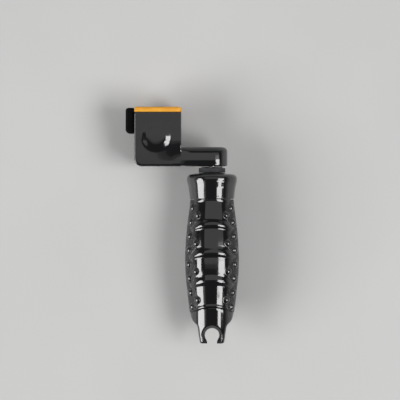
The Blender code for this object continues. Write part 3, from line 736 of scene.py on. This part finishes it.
def black_rubber():
    """Matte black elastomer with a fine pebbled grain."""
    material, tree, shader = new_material("black soft elastomer", (0.004, 0.004, 0.005), 0.55,
                                          specular=0.06)
    colour_between(tree, remap(tree, noise(tree, 300.0, 4.0), 0.0, 1.0),
                   (0.0015, 0.0015, 0.002), (0.003, 0.003, 0.0035), shader)
    tree.links.new(remap(tree, noise(tree, 1200.0), 0.48, 0.64), shader.inputs["Roughness"])
    bump(tree, noise(tree, 3000.0, 4.0), shader, 0.35, 0.00004)
    return material


def dark_nylon():
    """Satin dark bearing plastic with turning marks round the axis."""
    material, tree, shader = new_material("dark bearing plastic", (0.048, 0.049, 0.052), 0.6,
                                          specular=0.3)
    colour_between(tree, remap(tree, noise(tree, 260.0, 4.0), 0.0, 1.0),
                   (0.030, 0.031, 0.034), (0.040, 0.041, 0.044), shader)
    tree.links.new(remap(tree, noise(tree, 700.0), 0.52, 0.68), shader.inputs["Roughness"])
    rings = noise(tree, 400.0, 2.0, stretch=(0.2, 14.0, 0.2))
    bump(tree, rings, shader, 0.2, 0.00002)
    return material


def steel(name, colour, roughness, stretch):
    """Bright metal with fine marks stretched along one direction."""
    material, tree, shader = new_material(name, colour, roughness, metallic=1.0)
    low, high = (tuple(part * share for part in colour) for share in (0.85, 1.05))
    colour_between(tree, remap(tree, noise(tree, 500.0, 4.0), 0.0, 1.0), low, high, shader)
    marks = noise(tree, 600.0, 3.0, stretch=stretch)
    tree.links.new(remap(tree, marks, roughness - 0.08, roughness + 0.1),
                   shader.inputs["Roughness"])
    bump(tree, marks, shader, 0.15, 0.00001)
    return material


def floor_material():
    """Plain pale floor with a trace of unevenness."""
    material, tree, shader = new_material("pale floor", (0.52, 0.52, 0.515), 0.6, specular=0.2)
    colour_between(tree, remap(tree, noise(tree, 12.0), 0.0, 1.0),
                   (0.51, 0.51, 0.505), (0.53, 0.53, 0.525), shader)
    return material


# ---------------------------------------------------------------- studio

def make_floor():
    """A wide pale floor just under the winder."""
    half = 3.0
    mesh = bpy.data.meshes.new("floor")
    mesh.from_pydata([(-half, -half, 0.0), (half, -half, 0.0), (half, half, 0.0),
                      (-half, half, 0.0)], [], [(0, 1, 2, 3)])
    floor = bpy.data.objects.new("floor", mesh)
    floor.location.z = CAD_LOW[2] - 0.0002
    mesh.materials.append(floor_material())
    bpy.context.scene.collection.objects.link(floor)
    floor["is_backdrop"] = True


def make_light(name, across, upward, radiance):
    """A flat soft light far from the winder, facing it.

    across and upward are the first and last angles that it spans, in degrees, to the right
    of the winder's front and towards the head's end.
    """
    centre = Vector((AXIS[0], 0.0, AXIS[2]))
    turn, rise = math.radians(sum(across) / 2), math.radians(sum(upward) / 2)
    direction = Vector((math.sin(turn) * math.cos(rise), math.sin(rise),
                        math.cos(turn) * math.cos(rise)))
    reach = 3.0
    data = bpy.data.lights.new(name, "AREA")
    data.shape = "RECTANGLE"
    data.size = 2 * reach * math.tan(math.radians(across[1] - across[0]) / 2)
    data.size_y = 2 * reach * math.tan(math.radians(upward[1] - upward[0]) / 2)
    data.energy = radiance * data.size * data.size_y * math.pi
    light = bpy.data.objects.new(name, data)
    sideways = Vector((0.0, 1.0, 0.0)).cross(direction).normalized()
    axes = Matrix((sideways, direction.cross(sideways), direction)).transposed()
    light.matrix_world = Matrix.Translation(centre + reach * direction) @ axes.to_4x4()
    light.visible_camera = False
    bpy.context.scene.collection.objects.link(light)


def make_lights():
    """Tall soft lights at both sides, which narrow towards their ends, and dim panels above."""
    lights = (
        # name, angles across, angles upward, radiance
        ("left_softbox", (-67.0, -48.0), (-6.0, 4.0), SOFTBOX),
        ("left_lower_softbox", (-75.0, -43.0), (-29.0, -6.0), SOFTBOX),
        ("left_foot_softbox", (-66.0, -55.0), (-35.0, -29.0), SOFTBOX),
        ("left_lower_fill", (-43.0, -33.0), (-29.0, -9.0), PANEL),
        ("left_softbox_edge", (-62.0, -50.0), (4.0, 9.0), 0.3 * SOFTBOX),
        ("right_softbox", (28.0, 56.0), (-8.0, 4.0), SOFTBOX),
        ("right_softbox_edge", (26.0, 50.0), (4.0, 9.0), 0.1 * SOFTBOX),
        ("right_softbox_waist", (35.0, 50.0), (-10.5, -8.0), SOFTBOX),
        ("right_lower_softbox", (25.0, 50.0), (-16.0, -10.5), SOFTBOX),
        ("right_foot_softbox", (26.0, 58.0), (-22.0, -16.0), SOFTBOX),
        ("right_base_softbox", (32.0, 46.0), (-29.0, -22.0), SOFTBOX),
        ("upper_panel", (-34.0, 51.0), (0.8, 35.5), PANEL),
        ("upper_panel_edge", (-30.0, 36.0), (-3.0, 0.8), 0.35 * PANEL),
        ("high_panel", (-40.0, 50.0), (48.0, 78.0), 0.6 * PANEL),
    )
    for name, across, upward, radiance in lights:
        make_light(name, across, upward, radiance)


def make_surround():
    """Dim surround: brightest near the horizon, and darker behind the puller's end."""
    world = bpy.data.worlds.new("surround")
    world.use_nodes = True
    tree = world.node_tree
    background = tree.nodes["Background"]
    background.inputs["Color"].default_value = (1.0, 1.0, 1.0, 1.0)
    direction = tree.nodes.new("ShaderNodeTexCoord")
    parts = tree.nodes.new("ShaderNodeSeparateXYZ")
    tree.links.new(direction.outputs["Generated"], parts.inputs["Vector"])
    haze = remap(tree, parts.outputs["Z"], 0.55, 0.04, 0.05, 0.35)
    ends = remap(tree, parts.outputs["Y"], 0.3, 1.0, -0.95, -0.6)
    tree.links.new(combine(tree, "MULTIPLY", haze, ends), background.inputs["Strength"])
    bpy.context.scene.world = world
    bpy.context.scene.view_settings.view_transform = "Standard"


def make_camera():
    """Camera straight above the winder's front, aimed beside the axis so that all of it shows."""
    distance = 1.5
    view_width = 0.21024
    view_centre = (-6.3 * MM, 75.2 * MM)
    sensor = 36.0
    data = bpy.data.cameras.new("camera")
    data.sensor_width = sensor
    data.lens = sensor * distance / view_width
    data.dof.use_dof = False
    camera = bpy.data.objects.new("camera", data)
    camera.location = (AXIS[0] + view_centre[0], CAD_LOW[1] + view_centre[1],
                       AXIS[2] + distance)
    bpy.context.scene.collection.objects.link(camera)
    bpy.context.scene.camera = camera


# ---------------------------------------------------------------- the winder

def make_crank(black, amber, rubber, nylon):
    """Pieces that turn with the crank."""
    arm = solid_of("crank", crank_field, (-41.3, 92.2, -10.9), (8.8, 121.9, 10.9), 0.4)
    finish_piece(arm, black, "crank", "gloss_black", "crank_arm")
    liner = solid_of("soft_liner", liner_field, (-41.3, 96.9, -9.0), (-15.5, 124.5, 9.0), 0.36)
    finish_piece(liner, amber, "crank", "amber_soft", "head_liner")
    bumper = solid_of("soft_bumper", bumper_field, (-45.8, 109.6, -6.5), (-40.3, 124.0, 6.5), 0.3)
    finish_piece(bumper, rubber, "crank", "black_rubber", "headstock_bumper")
    washer = turned("neck_washer", [(2.15, 92.15), (5.5, 92.15), (5.6, 92.25), (5.6, 92.55),
                                    (5.5, 92.65), (2.15, 92.65)], closed=True)
    finish_piece(washer, nylon, "crank", "dark_nylon", "upper_thrust_washer")


def make_grip(black, nylon, zinc):
    """Pieces that are held in the hand."""
    front = make_shell("front_shell", True, 150, 250)
    finish_piece(front, black, "grip", "gloss_black", "front_grip_shell")
    rear = make_shell("rear_shell", False, 150, 250)
    for node in [name for name in frame["nodes"] if name.startswith("shell_screw")]:
        low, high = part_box(node)
        x = ((low[0] + high[0]) / 2 - ORIGIN[0]) / MM
        s = ((low[1] + high[1]) / 2 - ORIGIN[1]) / MM
        cut(rear, rings_of("counterbore", upright_rings(x, s, COUNTERBORE, 40)))
        screw = make_screw(node.replace("shell_", ""), x, s)
        finish_piece(screw, zinc, "grip", "zinc_screw", node)
    finish_piece(rear, black, "grip", "gloss_black", "rear_grip_shell")
    puller = solid_of("pin_puller", puller_field, (-12.7, -0.6, -12.7), (12.7, 27.5, 12.7), 0.36)
    finish_piece(puller, black, "grip", "gloss_black", "bridge_pin_puller")
    finish_piece(make_collar(), black, "grip", "gloss_black", "grip_collar")
    finish_piece(make_neck(), nylon, "grip", "dark_nylon", "neck_bush")


def dress_inner_pieces(bright, nylon):
    """Better materials on the CAD pieces that stay as they are, inside the grip."""
    for node, material in (("crank_shaft", bright), ("lower_thrust_washer", bright),
                           ("retaining_ring", bright), ("lower_bush", nylon)):
        for place in frame["nodes"][node].material_slots:
            place.material = material


def main():
    """Build the scene."""
    black, amber, rubber, nylon = gloss_black(), amber_soft(), black_rubber(), dark_nylon()
    bright = steel("ground steel", (0.60, 0.60, 0.61), 0.24, (8.0, 0.3, 8.0))
    zinc = steel("plated steel", (0.52, 0.52, 0.55), 0.32, (3.0, 3.0, 3.0))
    make_camera()
    make_crank(black, amber, rubber, nylon)
    make_grip(black, nylon, zinc)
    dress_inner_pieces(bright, nylon)
    make_floor()
    make_lights()
    make_surround()


main()
